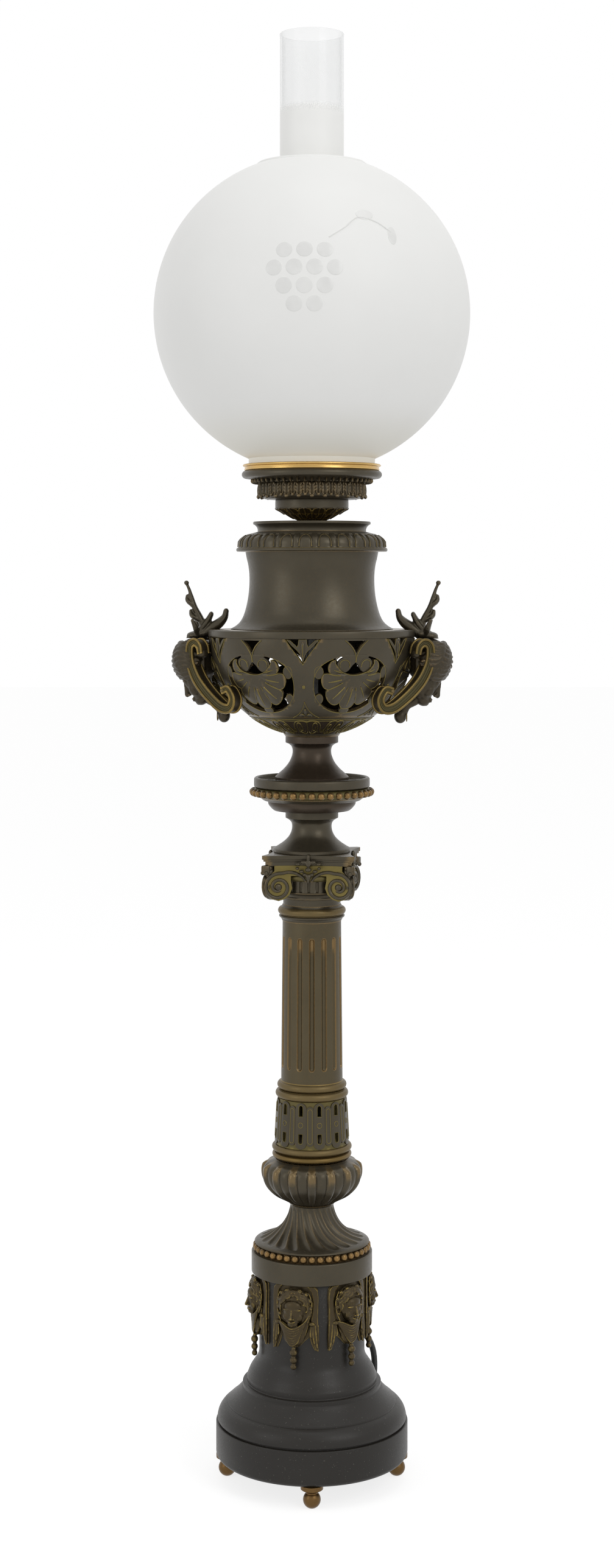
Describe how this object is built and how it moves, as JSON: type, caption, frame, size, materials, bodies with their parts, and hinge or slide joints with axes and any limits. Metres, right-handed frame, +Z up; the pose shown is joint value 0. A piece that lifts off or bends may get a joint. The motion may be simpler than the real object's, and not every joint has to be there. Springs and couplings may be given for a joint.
{
  "type": "banquet lamp",
  "caption": "Tall electrified banquet lamp with a frosted ball shade, glass chimney, pierced bronze urn with mask handles, fluted column and stepped black base.",
  "frame": {"origin": "on the surface the lamp stands on, under the middle of the base", "axes": "+Z up along the column, -Y to the front, handles on -X and +X"},
  "size_m": [0.254, 0.2978, 1.1587],
  "materials": {
    "black_paint": "satin black enamel, softly worn",
    "brass_relief": "aged brass relief over a dark ground, satin",
    "foot_brass": "aged brass, satin",
    "bronze": "dark bronze patina, satin",
    "bead_brass": "aged brass beads over a dark ground, satin",
    "brown_bronze": "brown bronze patina, semi-gloss",
    "copper_brown": "brown copper tone, satin",
    "gold_brass": "polished gold-coloured brass",
    "inner_brass": "brushed brass",
    "steel": "plain zinc",
    "frosted_glass": "acid-frosted white glass",
    "chimney_glass": "clear glass, frosted below",
    "bulb_glass": "frosted bulb glass",
    "cord_rubber": "dark brown, matte"
  },
  "bodies": {
    "base": {"plinth_drum": "black_paint", "base_cover": "black_paint", "base_moulding": "black_paint", "base_mask_1": "brass_relief", "base_mask_2": "brass_relief", "base_mask_3": "brass_relief", "base_mask_4": "brass_relief", "base_mask_5": "brass_relief", "base_mask_6": "brass_relief", "brass_ring": "brass_relief", "astragal": "brass_relief", "burner_bud": "brass_relief", "foot_front": "foot_brass", "foot_right": "foot_brass", "foot_back": "foot_brass", "foot_left": "foot_brass", "base_band": "bronze", "spiral_foot": "bronze", "melon_knop": "bronze", "pierced_collar": "bronze", "column_shaft": "bronze", "capital": "bronze", "plate": "bronze", "urn_bowl": "bronze", "urn_rim_plate": "bronze", "urn_neck": "bronze", "neck_moulding": "bronze", "urn_cap": "bronze", "handle_left": "bronze", "handle_right": "bronze", "plume_left": "bronze", "plume_right": "bronze", "leaf_ring": "bronze", "gallery_flange": "bronze", "base_bead_ring": "bead_brass", "plate_bead_ring": "bead_brass", "lower_spool": "brown_bronze", "upper_spool": "brown_bronze", "lower_ring": "copper_brown", "upper_rings": "copper_brown", "globe_ring": "gold_brass", "chimney_gallery": "inner_brass", "switch_housing": "inner_brass", "lamp_holder": "inner_brass", "handle_screw_left": "steel", "handle_screw_right": "steel", "threaded_tube": "steel", "lower_nut": "steel", "lower_washer": "steel", "upper_nut": "steel", "lead": "cord_rubber", "strain_relief": "cord_rubber", "cord": "cord_rubber", "cord_coil": "cord_rubber", "cord_tie": "cord_rubber", "plug": "cord_rubber"},
    "globe_body": {"globe": "frosted_glass"},
    "chimney_body": {"chimney": "chimney_glass"},
    "bulb_body": {"bulb": "bulb_glass"},
    "key_body": {"switch_key": "inner_brass"}
  },
  "joints": [
    {"name": "globe_lift", "type": "slide", "parent": "base", "child": "globe_body", "axis": [0, 0, 1], "range_m": [0, 0.36]},
    {"name": "chimney_lift", "type": "slide", "parent": "base", "child": "chimney_body", "axis": [0, 0, 1], "range_m": [0, 0.345]},
    {"name": "bulb_out", "type": "slide", "parent": "base", "child": "bulb_body", "axis": [0, 0, 1], "range_m": [0, 0.04]},
    {"name": "key_turn", "type": "hinge", "parent": "base", "child": "key_body", "pos_m": [0.01, -0.01732, 0.8164], "axis": [0.5, -0.866, 0], "continuous": true}
  ]
}
